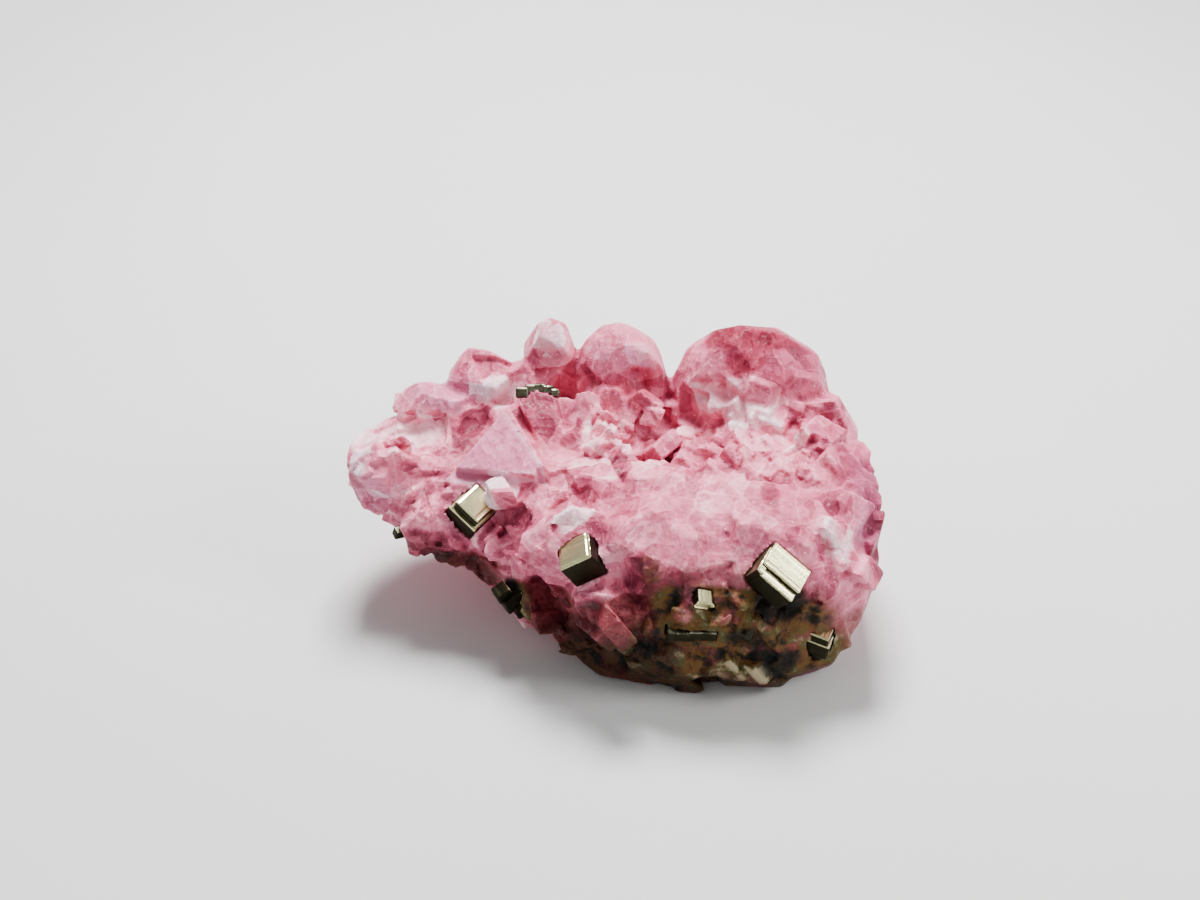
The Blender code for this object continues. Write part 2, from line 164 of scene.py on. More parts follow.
def region_turns():
    """The CAD part's crystal orientations, each with the middle of its region."""
    rng = random.Random(REGION_SEED)
    turns = []
    for direction in spread_directions(REGION_COUNT, rng, wobble=0.2):
        middle = Vector(m + d * reach for m, d, reach in zip(REGIONS_MIDDLE, direction, REGIONS_REACH))
        turn = Euler([math.radians(rng.uniform(0, 360)) for _ in range(3)]).to_matrix()
        turns.append((middle, turn))
    return turns


def cleavage_normals(turn):
    """The three cleavage directions of a crystal, as rows."""
    rows = []
    for i in range(3):
        round_axis = math.radians(120 * i)
        rows.append(turn @ Vector((
            math.sin(RHOMB_POLAR) * math.cos(round_axis),
            math.sin(RHOMB_POLAR) * math.sin(round_axis),
            math.cos(RHOMB_POLAR),
        )))
    return np.array([list(row) for row in rows])


def grains(lowest, highest, seed):
    """Grain centres on a jittered grid, each with its lattice: u = lattice @ p + shift."""
    rng = random.Random(seed)
    regions = region_turns()
    made = []
    counts = [int((high - low) / GRAIN_SPACING) + 2 for low, high in zip(lowest, highest)]
    for cell in np.ndindex(*counts):
        centre = Vector(low + (c + rng.random()) * GRAIN_SPACING for low, c in zip(lowest, cell))
        turn = min(regions, key=lambda region: (region[0] - centre).length)[1]
        lean = Euler([math.radians(rng.gauss(0, GRAIN_LEAN)) for _ in range(3)]).to_matrix()
        steps = np.array([rng.uniform(*STEP_SIZES) for _ in range(3)])
        lattice = cleavage_normals(lean @ turn) / steps[:, None]
        shift = np.array([rng.random() for _ in range(3)])
        made.append((np.array(centre), lattice, shift))
    return made


def nearest_grain(points, centres, block=20000):
    """The index of the nearest centre for each point, in blocks to spare memory."""
    found = np.empty(len(points), np.int32)
    for start in range(0, len(points), block):
        some = points[start:start + block]
        distance = ((some[:, None] - centres[None]) ** 2).sum(axis=2)
        found[start:start + block] = distance.argmin(axis=1)
    return found


def blob(points, centre, radii):
    """1 in the middle of an ellipsoid, falling smoothly to 0 outside it."""
    reach = np.sqrt((((points - np.array(centre)) / np.array(radii)) ** 2).sum(axis=1))
    inside = np.clip(1.5 - reach, 0, 1)
    return inside * inside * (3 - 2 * inside)


def most(points, patches):
    """The strongest of several patches at each point."""
    return np.max([share * blob(points, centre, radii) for centre, radii, share in patches], axis=0)


def surface_samples(points, triangles, count, rng):
    """Random places on a mesh, spread by area, with the outward normal at each."""
    corners = points[triangles]
    cross = np.cross(corners[:, 1] - corners[:, 0], corners[:, 2] - corners[:, 0])
    area = np.linalg.norm(cross, axis=1)
    pick = rng.choice(len(triangles), count, p=area / area.sum())
    share = rng.random((count, 2))
    over = share.sum(axis=1) > 1
    share[over] = 1 - share[over]
    places = corners[pick, 0]
    places = places + share[:, :1] * (corners[pick, 1] - corners[pick, 0])
    places = places + share[:, 1:] * (corners[pick, 2] - corners[pick, 0])
    return places, cross[pick] / area[pick, None]


def window_round(centre, reach, corner, shape):
    """The slices of the field that hold a box round a point, and the voxels' places from that point."""
    low = np.maximum(np.floor((centre - reach) / VOXEL).astype(int) - corner, 0)
    high = np.minimum(np.ceil((centre + reach) / VOXEL).astype(int) - corner + 1, shape)
    if (low >= high).any():
        return None, None
    lines = [(np.arange(a, b) + c) * VOXEL - m for a, b, c, m in zip(low, high, corner, centre)]
    return tuple(slice(a, b) for a, b in zip(low, high)), np.meshgrid(*lines, indexing="ij", sparse=True)


def along(normal, place):
    """How far each place lies along a direction."""
    return normal[0] * place[0] + normal[1] * place[1] + normal[2] * place[2]


def nearby_normals(regions, point, rng, spread):
    """The cleavage directions of the region that a point is in, leaning a little at random."""
    away = [((np.array(middle) - point) ** 2).sum() for middle, _ in regions]
    lean = Euler([math.radians(a) for a in rng.normal(0, spread, 3)]).to_matrix()
    return cleavage_normals(lean @ regions[np.argmin(away)][1])


def rough_places(rock, count, seed):
    """Places on the stone, fewer where it is calm.

    Each comes with its direction out and a random generator of its own.
    """
    rng = np.random.default_rng(seed)
    places, outward = surface_samples(*rock, count, rng)
    for number in np.flatnonzero(rng.random(count) < 1 - calm(places)):
        yield places[number], outward[number], np.random.default_rng((seed, number))


def cut_facets(values, skin, tint, corner, rock, seed):
    """Cleaves off flats, no deeper than MOST_CUT. Each leaves a number of its own in tint.

    Each lies along the cleavage direction nearest to the surface and ends at the other two directions.
    """
    regions = region_turns()
    for point, up, rng in rough_places(rock, FACET_COUNT, seed):
        normals = nearby_normals(regions, point, rng, FACET_LEAN)
        facing = normals @ up
        best = np.abs(facing).argmax()
        sunk = rng.uniform(*FACET_DEPTH)
        halves = rng.uniform(*FACET_SIZES, 3)
        window, place = window_round(point, 1.5 * halves.max(), corner, values.shape)
        if window is None:
            continue
        walls = [half - np.abs(along(n, place)) for n, half in zip(normals, halves)]
        walls[best] = along(normals[best] * np.sign(facing[best]), place) + sunk
        before = values[window]
        after = np.maximum(before, np.minimum(np.min(walls, axis=0), skin[window] + MOST_CUT))
        tint[window][after != before] = rng.random()
        values[window] = after


def scatter_rhombs(values, tint, corner, rock, seed):
    """Sets small cleavage rhombs into the surface. Each leaves a number of its own in tint."""
    regions = region_turns()
    for point, up, rng in rough_places(rock, RHOMB_COUNT, seed):
        normals = nearby_normals(regions, point, rng, RHOMB_LEAN)
        edges = np.linalg.inv(normals)
        size = math.exp(rng.uniform(*map(math.log, RHOMB_SIZES)))
        halves = size * rng.uniform(*RHOMB_SIDES, 3)
        support = (np.abs(up @ edges) * halves).sum()
        centre = point + up * (rng.uniform(*RHOMB_POKE) - support)
        window, place = window_round(centre, np.abs(edges) @ halves + 2 * VOXEL, corner, values.shape)
        if window is None:
            continue
        away = np.max([np.abs(along(n, place)) - half for n, half in zip(normals, halves)], axis=0)
        before = values[window]
        after = np.minimum(before, away)
        tint[window][after != before] = rng.random()
        values[window] = after


def smoothed(values, sigma):
    """The field blurred by sigma voxels."""
    reach = int(3 * sigma) + 1
    weights = np.exp(-0.5 * (np.arange(-reach, reach + 1) / sigma) ** 2)
    weights /= weights.sum()
    for axis in range(3):
        padded = np.pad(values, [(reach, reach) if i == axis else (0, 0) for i in range(3)], mode="edge")
        result = np.zeros_like(values)
        for k, weight in enumerate(weights):
            window = [slice(None)] * 3
            window[axis] = slice(k, k + values.shape[axis])
            result += weight * padded[tuple(window)]
        values = result
    return values


def ripple(points, size, seed):
    """Smooth random values between -1 and 1, about size millimetres apart."""
    rng = np.random.default_rng(seed)
    low = points.min(axis=0) - size
    counts = ((points.max(axis=0) - low) / size).astype(int) + 3
    return sample(rng.uniform(-1, 1, counts).astype(np.float32), (points - low) / size)


# Where the surface is smooth: centre, half-sizes and how smooth.
CALM = (
    ((4.5, -4.0, 8.0), (6.5, 3.4, 2.6), 1.2),
    ((-1.5, -3.6, 7.3), (3.4, 2.4, 1.8), 0.8),
    ((7.2, 6.0, 10.5), (6.0, 3.6, 4.4), 1.4),
    ((0.4, 6.2, 10.5), (4.4, 3.4, 4.4), 1.3),
    ((-3.1, 6.6, 11.0), (3.0, 2.6, 3.6), 1.4),
    ((-6.6, 6.0, 9.5), (3.0, 2.6, 2.4), 0.9),
    ((-9.2, 4.7, 9.0), (3.0, 2.6, 2.2), 0.9),
    ((-5.0, 1.0, 9.0), (4.0, 3.4, 2.4), 1.4),
    ((-3.6, 2.4, 9.5), (2.4, 2.4, 2.4), 1.1),
    ((-11.5, 1.5, 7.5), (3.0, 4.0, 2.6), 0.7),
    ((12.8, -1.5, 6.0), (3.0, 8.0, 6.0), 1.1),
    ((3.0, -6.5, 1.0), (12.0, 4.0, 1.6), 0.9),
    ((11.0, -5.5, 3.0), (3.4, 3.4, 3.4), 1.0),
    ((3.8, 1.4, 8.4), (3.2, 2.2, 2.0), 0.75),
)

# The sugary hollow in the top and the smaller one to its right, with their evenness.
CRATER = (
    ((3.4, 1.6, 8.0), (4.0, 2.6, 2.6), 1.0),
    ((8.6, 1.4, 8.8), (2.6, 2.2, 1.8), 1.0),
)


def calm(points):
    """How smooth the surface is, from 0 to 1.

    It is smooth on the brow, the rims, the triangular face, the crystals at the back and along the base.
    """
    return np.minimum(most(points, CALM), 1)


def rising(distance, start, width):
    """0 up to start, then rising to 1 over width."""
    return np.clip((distance - start) / width, 0, 1)


def stepped(points, made, growth):
    """The points moved towards the middles of their cleavage cells.

    growth is 1 where the steps have their full size, and falls to 0 by the pyrite crystals.
    """
    centres = np.array([grain[0] for grain in made])
    owner = nearest_grain(points, centres)
    strength = STEP_STRENGTH * (1 - calm(points)) * growth
    moved = points.copy()
    order = np.argsort(owner, kind="stable")
    edges = np.searchsorted(owner[order], np.arange(len(made) + 1))
    for i, (_, lattice, shift) in enumerate(made):
        own = order[edges[i]:edges[i + 1]]
        if not len(own):
            continue
        u = points[own] @ lattice.T + shift
        border = np.round(u)
        ramp = VOXEL * np.linalg.norm(lattice, axis=1)
        stair = border + np.clip((u - border) / ramp, -0.5, 0.5)
        u += strength[own, None] * (stair - u)
        moved[own] = (u - shift) @ np.linalg.inv(lattice).T
    return moved


def grid_of(values, corner, background):
    """The array as a grid, with the value that counts as empty."""
    grid = openvdb.FloatGrid(background)
    grid.transform = openvdb.createLinearTransform(VOXEL)
    grid.copyFromArray(values, ijk=tuple(int(c) for c in corner))
    return grid


def stone_field():
    """The skin's distance field and the crystals' one, the first voxel and the welded CAD mesh."""
    rock = mesh_of_node(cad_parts["rhodochrosite"])
    pyrites = [mesh_of_node(node) for name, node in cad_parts.items() if name.startswith("pyrite")]
    offset = 0
    points, triangles = [], []
    for p, t in pyrites:
        points.append(p)
        triangles.append(t + offset)
        offset += len(p)
    crystals = field_of(np.concatenate(points), np.concatenate(triangles))
    raw = field_of(*rock)
    low, high = raw.evalActiveVoxelBoundingBox()
    corner = np.array(low) - EDGE_VOXELS
    shape = tuple(np.array(high) - np.array(low) + 2 * EDGE_VOXELS + 1)
    from_pyrite = array_of(crystals, corner, shape)

    # The skin closes the narrow gap round each crystal.
    together = np.minimum(array_of(raw, corner, shape), from_pyrite) - GAP_CLOSED
    swollen = grid_of(together, corner, BAND * VOXEL)
    points, _, quads = swollen.convertToPolygons(isovalue=0, adaptivity=0)
    closed = openvdb.FloatGrid.createLevelSetFromPolygons(
        points, quads=quads[:, ::-1].copy(), transform=openvdb.createLinearTransform(VOXEL), halfWidth=BAND
    )
    return array_of(closed, corner, shape) + GAP_CLOSED, from_pyrite, corner, rock


def near_surface(values, corner, reach):
    """Which voxels lie near the surface, and where they are."""
    near = np.abs(values) < reach
    return near, (np.argwhere(near) + corner) * VOXEL


def kept_in_box(values, corner):
    """The field cut off at the sides of the CAD part's box."""
    lowest, highest = (np.array(c) / MM for c in CAD_BOX)
    for axis in range(3):
        line = (np.arange(values.shape[axis]) + corner[axis]) * VOXEL
        outside = np.maximum(lowest[axis] - line, line - highest[axis])
        outside = outside.reshape([-1 if i == axis else 1 for i in range(3)])
        values = np.maximum(values, outside.astype(np.float32))
    return values


def stone_mesh():
    """The stone's points, triangles and quads, the blurred field, the facets' tints and the first voxel."""
    skin, from_pyrite, corner, rock = stone_field()
    values = skin.copy()
    near, points = near_surface(values, corner, STEP_REACH)
    even = smoothed(values, CRATER_BLUR)[near] - CRATER_FILL
    values[near] += CRATER_EVENNESS * most(points, CRATER) * (even - values[near])
    made = grains(points.min(axis=0), points.max(axis=0), seed=5)
    moved = stepped(points, made, rising(from_pyrite[near], *STEPS_RISE))
    values[near] = sample(values, moved / VOXEL - corner)
    tint = np.full(values.shape, 0.5, np.float32)
    cut_facets(values, skin, tint, corner, rock, seed=10)
    scatter_rhombs(values, tint, corner, rock, seed=12)

    # The skin stays as it is round a crystal, so that each one shows as much as it does in the CAD part.
    values = skin + rising(from_pyrite, *RELIEF_RISE) * (values - skin)
    values = smoothed(values, EDGE_BLUR)
    near, points = near_surface(values, corner, RIPPLE_REACH)
    values[near] += RIPPLE_HEIGHT * ripple(points, RIPPLE_SPACING, seed=21)
    values = kept_in_box(values, corner)
    values = np.maximum(values, PYRITE_CLEARANCE - from_pyrite)
    points, triangles, quads = grid_of(values, corner, 1.0).convertToPolygons(isovalue=0, adaptivity=0.0)
    return points, triangles, quads, smoothed(values, RELIEF_BLUR), tint, corner


def make_object(name, points, faces):
    """A mesh object whose points are given in millimetres."""
    mesh = bpy.data.meshes.new(name)
    mesh.from_pydata(np.asarray(points) * MM, [], faces)
    made = bpy.data.objects.new(name, mesh)
    bpy.context.scene.collection.objects.link(made)
    return made


def give_values(piece, name, values):
    """Stores one number for each vertex, for the material to read."""
    attribute = piece.data.attributes.new(name, "FLOAT", "POINT")
    attribute.data.foreach_set("value", np.asarray(values, np.float32))


# Where the stone's colours, and the shade and highlight painted into them, lie: centre, half-sizes and
# strength of each patch.
ZONES = {
    # Lighter patches: whiter stone, with painted highlight on the brow, the top of the wing and the spire,
    # where the light falls.
    "pale": [
        ((-10.8, 2.8, 8.1), (2.6, 1.4, 0.9), 1.4),
        ((-12.3, 1.0, 8.0), (0.8, 1.2, 0.8), 0.8),
        ((-11.2, 0.6, 6.6), (1.8, 1.6, 1.4), 0.45),
        ((-6.0, 4.3, 9.8), (1.2, 1.0, 0.7), 0.9),
        ((7.8, 1.3, 9.2), (1.4, 0.9, 0.9), 0.9),
        ((4.7, 4.0, 9.7), (1.4, 0.9, 0.8), 0.7),
        ((2.7, -3.8, 9.1), (2.0, 1.2, 1.0), 0.2),
        ((-1.8, -3.8, 8.8), (1.8, 1.6, 1.2), 0.45),
        ((6.0, -8.0, 1.8), (1.6, 1.2, 1.0), 1.0),
        ((10.8, -4.7, 7.9), (0.9, 1.0, 1.2), 1.0),
        ((-0.1, 0.9, 9.4), (1.2, 0.8, 0.8), 1.2),
        ((-3.3, 6.3, 12.0), (0.9, 1.0, 1.0), 0.8),
        ((-5.55, -1.1, 7.9), (0.9, 0.8, 0.9), 2.0),
    ],
    # Whiter patches: white crystals and veins, with painted highlight on the top of the wing.
    "white": [
        ((-5.55, -1.1, 7.9), (0.9, 0.8, 0.9), 2.0),
        ((6.9, 2.9, 9.4), (1.2, 0.9, 0.8), 0.6),
        ((-10.8, 2.8, 8.1), (2.6, 0.9, 0.7), 0.9),
        ((10.8, -4.7, 7.9), (0.7, 0.8, 1.0), 0.5),
    ],
    "deep": [
        ((4.3, 0.8, 8.6), (2.0, 1.4, 1.4), 0.3),
        ((2.9, 1.4, 8.3), (1.6, 1.4, 1.2), 0.4),
        ((6.7, 6.2, 12.4), (3.4, 1.8, 1.1), 0.6),
        ((6.6, 4.6, 11.3), (0.9, 0.6, 0.5), 0.6),
        ((8.0, 5.5, 11.0), (3.0, 2.0, 2.2), 0.5),
        ((11.6, -0.3, 8.5), (1.2, 2.0, 1.2), 0.5),
        ((7.6, 3.4, 10.6), (1.1, 0.8, 0.8), 0.7),
        ((-7.1, 3.0, 8.3), (1.4, 1.0, 0.8), 0.4),
        ((7.5, -3.0, 9.2), (0.6, 1.2, 0.6), 0.6),
        ((10.5, -3.0, 8.5), (0.5, 0.6, 0.6), 0.8),
        ((9.2, 3.0, 9.5), (1.2, 0.9, 0.8), 0.5),
        ((10.2, 0.8, 8.9), (0.7, 1.0, 0.7), 0.5),
        ((-9.0, -2.0, 4.8), (2.0, 1.2, 1.2), 0.7),
        ((1.2, -6.6, 7.0), (0.9, 1.0, 1.6), 0.8),
        ((-1.1, -7.1, 5.0), (1.2, 0.9, 1.2), 0.7),
        ((-4.0, -2.9, 7.3), (1.0, 0.8, 0.8), 0.6),
        ((12.8, -1.5, 5.5), (0.8, 4.0, 3.5), 0.9),
    ],
    "stain": [
        ((1.7, -6.6, 7.6), (0.8, 0.9, 1.2), 0.6),
        ((3.9, -7.2, 6.0), (2.4, 1.0, 0.9), 1.2),
        ((4.1, -7.8, 4.5), (3.4, 1.0, 1.2), 1.3),
        ((8.4, -7.3, 4.4), (2.4, 1.2, 1.8), 1.3),
        ((8.5, -7.0, 2.2), (3.2, 1.6, 1.8), 1.2),
        ((7.0, -7.2, 5.8), (1.8, 1.0, 1.0), 1.2),
        ((3.5, -7.3, 2.0), (5.5, 1.6, 1.8), 1.2),
        ((-1.5, -6.2, 1.6), (2.8, 1.4, 1.4), 0.8),
        ((0.6, -7.8, 3.0), (2.2, 1.2, 1.2), 0.9),
        ((-5.0, -4.3, 3.0), (1.2, 1.0, 1.6), 1.2),
    ],
    # Near black: dark stain on the base, with painted shadow in the recesses under the pyrite crystals.
    "dark": [
        ((6.2, -7.8, 4.2), (1.1, 0.7, 0.6), 0.85),
        ((8.0, -7.7, 2.6), (1.2, 0.8, 0.8), 0.85),
        ((7.8, -7.0, 5.9), (1.3, 1.0, 1.2), 1.1),
        ((-5.2, -4.3, 4.2), (0.7, 0.7, 0.6), 1.2),
    ],
    # Brown stain on the base, deepened as painted shade where the lower front and the wing's underside face
    # away from the light.
    "umber_and_painted_shade": [
        ((0.0, -6.2, 2.2), (5.5, 3.0, 2.3), 1.4),
        ((6.5, -7.0, 3.0), (5.5, 2.0, 3.8), 1.3),
        ((11.0, -5.8, 2.0), (3.0, 2.6, 2.2), 1.1),
        ((4.5, -7.0, 6.9), (5.0, 1.4, 1.3), 0.7),
        ((0.5, -7.4, 4.0), (2.6, 1.8, 2.2), 1.5),
        ((-3.0, -5.4, 2.8), (3.8, 2.2, 2.2), 1.4),
        ((-7.0, -2.2, 3.9), (2.6, 1.6, 1.0), 1.2),
        ((-9.8, -1.5, 4.9), (2.2, 1.2, 1.0), 0.65),
    ],
    "rose": [
        ((7.0, 6.3, 12.2), (3.4, 1.2, 0.9), 1.3),
        ((6.7, 4.8, 11.3), (1.1, 0.7, 0.6), 1.1),
        ((1.4, 4.6, 10.3), (1.8, 1.2, 0.8), 0.8),
        ((8.3, 4.3, 10.5), (1.2, 0.8, 0.7), 0.7),
    ],
    # Painted shade on the lower front and under the wing, where the light does not reach.
    "shade": [
        ((-1.0, -6.4, 1.6), (4.8, 2.4, 2.0), 1.4),
        ((0.8, -7.8, 3.2), (2.4, 1.4, 1.4), 1.2),
        ((5.0, -7.0, 0.6), (7.0, 3.0, 1.3), 1.0),
        ((-7.5, -2.2, 3.6), (3.0, 1.6, 1.0), 1.1),
    ],
    "lilac": [
        ((-8.5, 4.8, 9.8), (2.2, 1.4, 1.2), 0.6),
        ((-12.0, 0.5, 7.0), (1.6, 1.6, 1.6), 0.6),
        ((12.3, -1.0, 7.5), (1.0, 3.5, 1.8), 0.7),
        ((0.2, 5.6, 10.8), (1.8, 1.2, 1.4), 0.4),
    ],
}


# Patches with clear edges on the upper side, as convex outlines in x and y, each with its strength.
OUTLINES = {
    "face": [
        (((-5.4, 2.9), (-8.3, -0.1), (-3.1, -1.2)), 1.0),
    ],
    "deep": [
        (((-4.1, 2.2), (-3.1, 1.2), (-2.5, 2.8), (-2.7, 3.5), (-3.9, 3.9), (-4.8, 4.0)), 1.0),
        (((-7.9, 1.1), (-7.2, 1.8), (-5.9, 4.2), (-7.0, 4.0), (-8.1, 3.2)), 0.9),
        (((-0.3, 0.5), (0.5, -1.9), (0.9, -1.1), (0.7, 0.6)), 1.1),
        (((-2.7, 1.4), (-1.6, 0.7), (-1.4, 2.4), (-1.6, 2.9)), 0.7),
        (((2.9, -1.6), (5.7, -1.5), (6.5, 0.0), (5.9, 2.9), (2.2, 3.6), (2.1, 0.4)), 0.15),
    ],
    "pale": [
        (((-1.7, 0.9), (-0.3, 0.5), (0.8, 0.6), (0.7, 3.0), (-1.7, 2.5)), 0.5),
        (((-2.4, -1.4), (0.5, -1.9), (-0.1, 0.1), (-2.1, 0.3)), 0.6),
        (((5.8, 2.9), (6.5, 0.8), (7.7, 0.6), (8.9, 3.6), (5.5, 4.2)), 1.5),
    ],
}
OUTLINES_ABOVE = 7.5  # the height from which they count
OUTLINE_EDGE = {"face": 1.0, "deep": 0.3, "pale": 0.3}  # how wide each one's edge is
BLURRED_ZONES = ("stain", "umber_and_painted_shade", "shade", "dark", "rose")


def outlined(points, outlines, edge):
    """The strength inside the outlines, 0 outside them and half of it on their edges."""
    best = np.zeros(len(points))
    for corners, strength in outlines:
        ends = np.array(corners)
        turning = np.sign(np.cross(ends[1] - ends[0], ends[2] - ends[1]))
        distance = np.full(len(points), np.inf)
        for a, b in zip(ends, np.roll(ends, -1, axis=0)):
            line = (b - a) / np.linalg.norm(b - a)
            distance = np.minimum(distance, turning * np.cross(line, points[:, :2] - a))
        best = np.maximum(best, strength * np.clip(0.5 + distance / edge, 0, 1))
    return best * (points[:, 2] > OUTLINES_ABOVE)


def main_shell(count, faces):
    """Which points belong to the largest connected shell."""
    label = np.arange(count)
    ends = np.concatenate([faces[:, [0, 1]], faces[:, [1, 2]]])
    while True:
        lowest = np.minimum(label[ends[:, 0]], label[ends[:, 1]])
        following = label.copy()
        np.minimum.at(following, ends[:, 0], lowest)
        np.minimum.at(following, ends[:, 1], lowest)
        following = following[following]
        if (following == label).all():
            break
        label = following
    return label == np.bincount(label).argmax()


def lighten(piece, share):
    """Collapses edges until this share of the triangles is left, and returns the points in millimetres.

    The points stay inside the CAD part's box.
    """
    modifier = piece.modifiers.new("lighten", "DECIMATE")
    modifier.ratio = min(1.0, share)
    graph = bpy.context.evaluated_depsgraph_get()
    lighter = bpy.data.meshes.new_from_object(piece.evaluated_get(graph))
    piece.modifiers.remove(modifier)
    piece.data = lighter
    points = np.empty(len(lighter.vertices) * 3, np.float32)
    lighter.vertices.foreach_get("co", points)
    points = np.clip(points.reshape(-1, 3), *[np.array(corner, np.float32) for corner in CAD_BOX])
    lighter.vertices.foreach_set("co", points.reshape(-1))
    return points / MM


def pink_stone():
    """The stone's object, with the values at each vertex that its material reads."""
    points, triangles, quads, soft_values, tint, corner = stone_mesh()
    faces = np.concatenate([triangles, quads[:, :3], quads[:, [0, 2, 3]]]).astype(np.int64)
    kept = main_shell(len(points), faces)
    number = np.cumsum(kept) - 1
    triangles = number[triangles[kept[triangles[:, 0]]]]
    quads = number[quads[kept[quads[:, 0]]]]
    points = points[kept]
    faces = [tuple(t[::-1]) for t in triangles.tolist()] + [tuple(q[::-1]) for q in quads.tolist()]
    made = make_object("pink_stone", points, faces)
    points = lighten(made, MOST_TRIANGLES / (len(triangles) + 2 * len(quads)))
    relief = np.clip(sample(soft_values, points / VOXEL - corner) / VOXEL, -1, 1)
    nearest = tuple(np.round(points / VOXEL - corner).astype(int).T)
    give_values(made, "facet", tint[nearest])
    give_values(made, "calm", calm(points))
    give_values(made, "relief", relief)
    outlines = {zone: outlined(points, rows, OUTLINE_EDGE[zone]) for zone, rows in OUTLINES.items()}
    give_values(made, "face", outlines["face"])
    for zone, patches in ZONES.items():
        give_values(made, zone, np.maximum(most(points, patches), outlines.get(zone, 0)))
    return made


class Look:
    """A node material, with short ways to add and join its nodes."""

    def __init__(self, name):
        self.material = bpy.data.materials.new(name)
        self.material.use_nodes = True
        self.tree = self.material.node_tree
        self.surface = self.tree.nodes["Principled BSDF"]

    def add(self, kind, inputs=(), out=0, **settings):
        """Adds a node, with its inputs as values or sockets, and returns one of its outputs."""
        node = self.tree.nodes.new("ShaderNode" + kind)
        for name, value in settings.items():
            setattr(node, name, value)
        self.feed(node, inputs)
        return node.outputs[out]

    def feed(self, node, inputs):
        """Joins a socket to each input, or sets its value."""
        for key, value in dict(inputs).items():
            if isinstance(value, bpy.types.NodeSocket):
                self.tree.links.new(value, node.inputs[key])
            else:
                node.inputs[key].default_value = value

    def value(self, name):
        """What give_values stored under this name."""
        return self.add("Attribute", out="Fac", attribute_name=name)

    def total(self, start, *terms):
        """start plus each socket times its weight."""
        for socket, weight in terms:
            start = self.add("Math", {0: socket, 1: weight, 2: start}, operation="MULTIPLY_ADD")
        return start

    def times(self, a, b):
        return self.add("Math", {0: a, 1: b}, operation="MULTIPLY")

    def step(self, value, low, high, to_low=0.0, to_high=1.0):
        """A smooth step from to_low, at low, to to_high, at high."""
        inputs = {"Value": value, "From Min": low, "From Max": high, "To Min": to_low, "To Max": to_high}
        return self.add("MapRange", inputs, interpolation_type="SMOOTHSTEP")

    def ramp(self, factor, stops):
        node = self.tree.nodes.new("ShaderNodeValToRGB")
        elements = node.color_ramp.elements
        while len(elements) < len(stops):
            elements.new(0.5)
        for element, (place, colour) in zip(elements, stops):
            element.position = place
            element.color = (*colour, 1)
        self.tree.links.new(factor, node.inputs["Fac"])
        return node.outputs["Color"]

    def mix(self, factor, a, b, blend="MIX"):
        """Colour b over colour a."""
        return self.add("Mix", {0: factor, 6: a, 7: b}, out=2, data_type="RGBA", blend_type=blend)

    def millimetres(self):
        """Texture coordinates in millimetres."""
        place = self.add("TexCoord", out="Object")
        return self.add("VectorMath", {0: place, 1: (1 / MM,) * 3}, operation="MULTIPLY")

    def noise(self, place, scale, detail=3.0, roughness=0.55):
        inputs = {"Vector": place, "Scale": scale, "Detail": detail, "Roughness": roughness}
        return self.add("TexNoise", inputs, out="Fac")

    def cells(self, place, scale, feature="F1", out="Color"):
        return self.add("TexVoronoi", {"Vector": place, "Scale": scale}, out=out, feature=feature)

    def red(self, colour):
        return self.add("SeparateColor", {0: colour}, out=0)

    def warped(self, place, scale, amount):
        """The place moved about by soft noise."""
        colour = self.add("TexNoise", {"Vector": place, "Scale": scale, "Detail": 2.0}, out="Color")
        centred = self.add("VectorMath", {0: colour, 1: (0.5, 0.5, 0.5)}, operation="SUBTRACT")
        inputs = {0: centred, 1: (amount,) * 3, 2: place}
        return self.add("VectorMath", inputs, operation="MULTIPLY_ADD")

    def leaned(self, normal, cells, amount):
        """The normal tilted by a direction of its own in each cell, like the faces of small crystals."""
        centred = self.add("VectorMath", {0: cells, 1: (0.5, 0.5, 0.5)}, operation="SUBTRACT")
        tilt = self.add("VectorMath", {0: centred, "Scale": amount}, operation="SCALE")
        tilted = self.add("VectorMath", {0: tilt, 1: normal}, operation="ADD")
        return self.add("VectorMath", {0: tilted}, operation="NORMALIZE")


# The tone's pinks, from the crevices to the light edges.
PINKS = [
    (0.0, (0.25, 0.03, 0.065)),
    (0.25, (0.48, 0.08, 0.15)),
    (0.5, (0.74, 0.185, 0.29)),
    (0.74, (0.89, 0.34, 0.44)),
    (1.0, (0.96, 0.63, 0.70)),
]
# The iron and manganese stain, from black through rust and olive to buff.
STAINS = [
    (0.36, (0.003, 0.003, 0.002)),
    (0.43, (0.02, 0.015, 0.005)),
    (0.48, (0.09, 0.035, 0.01)),
    (0.54, (0.12, 0.06, 0.012)),
    (0.59, (0.06, 0.052, 0.016)),
    (0.65, (0.13, 0.11, 0.045)),
    (0.72, (0.36, 0.30, 0.18)),
]
WHITE_PINK = (0.96, 0.73, 0.77, 1)
SPECK_BROWN = (0.06, 0.04, 0.04, 1)
# Near black, for dark stain and painted shadow under the pyrite crystals.
BLACK_STAIN_AND_SHADOW = (0.003, 0.003, 0.002, 1)
# These colour what they are multiplied with.
ROSE_TINT = (0.72, 0.32, 0.42, 1)
LILAC_TINT = (0.80, 0.88, 1.0, 1)
# Brown of the stain, darkened further as painted shade.
UMBER_AND_SHADE_TINT = (0.25, 0.16, 0.105, 1)
# The colour of the painted shade.
SHADE_TINT = (0.34, 0.26, 0.24, 1)

# Cells per millimetre.
DOMAIN_SCALE = 0.55
GRAIN_SCALE = 1.3
SMALL_GRAIN_SCALE = 3.4
SUGAR_SCALE = 8.0


